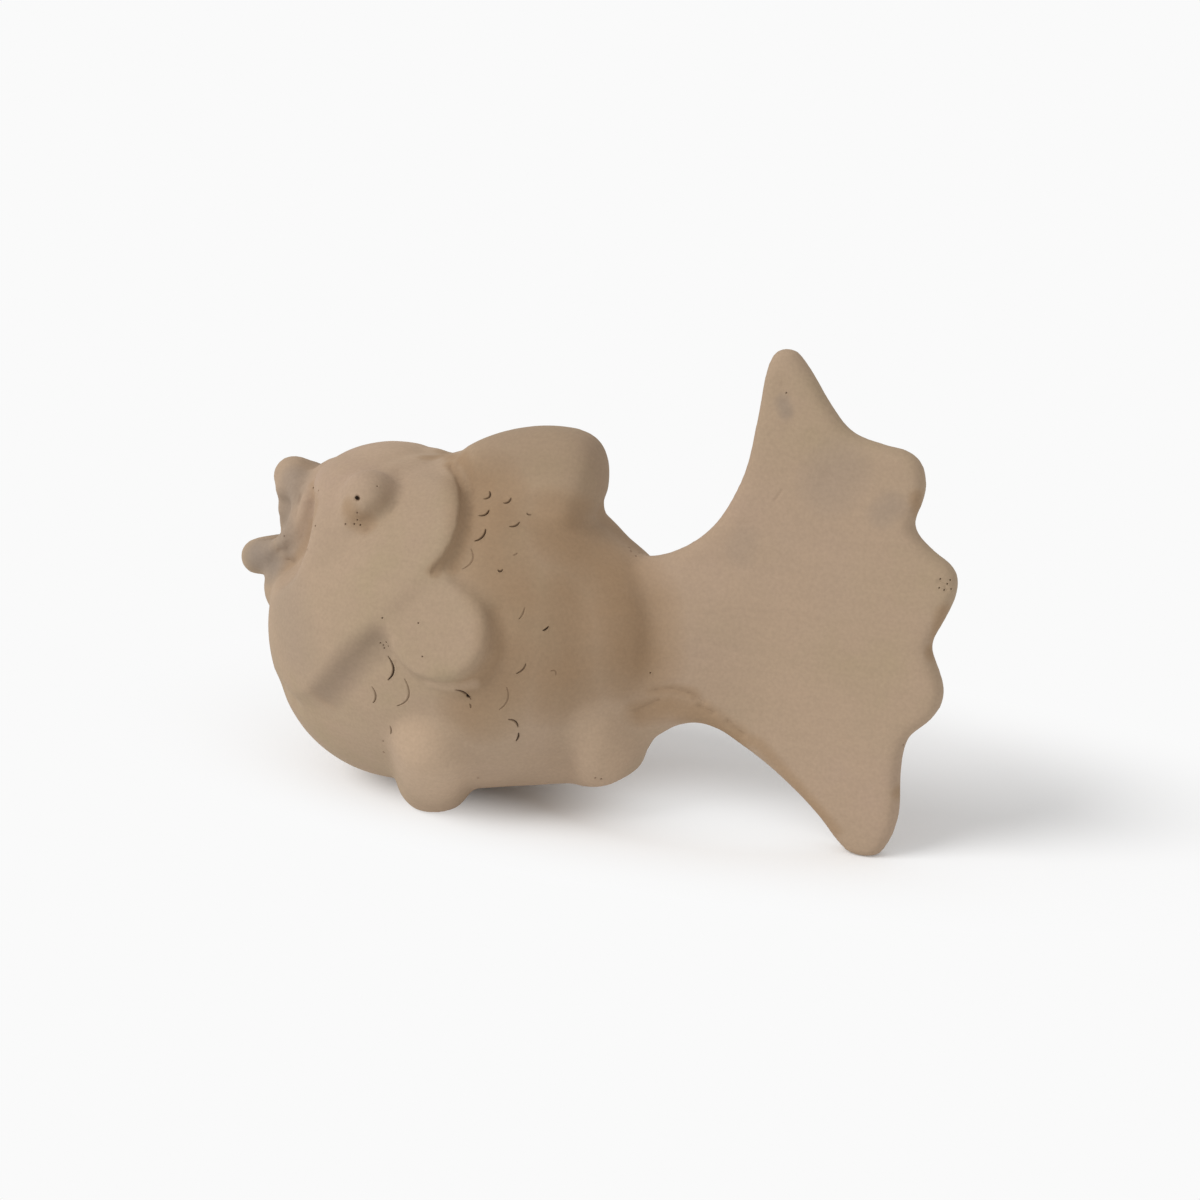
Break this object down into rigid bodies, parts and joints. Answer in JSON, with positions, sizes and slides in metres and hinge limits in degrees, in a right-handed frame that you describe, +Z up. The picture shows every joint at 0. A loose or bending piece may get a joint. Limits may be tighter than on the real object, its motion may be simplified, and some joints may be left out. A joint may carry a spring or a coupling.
{
  "type": "fish sculpture",
  "caption": "Plump hand-modelled clay fish that stands on two stub feet and the lowest prong of its broad fan tail.",
  "frame": {"origin": "on the floor, under the middle of the sculpture's box", "axes": "+X from the head to the tail, +Y to the side away from the camera (the fish's right side), +Z up"},
  "size_m": [0.3264, 0.1368, 0.2029],
  "materials": {
    "clay": "matte, unglazed clay"
  },
  "bodies": {
    "root": {"fish": "clay"}
  },
  "joints": []
}
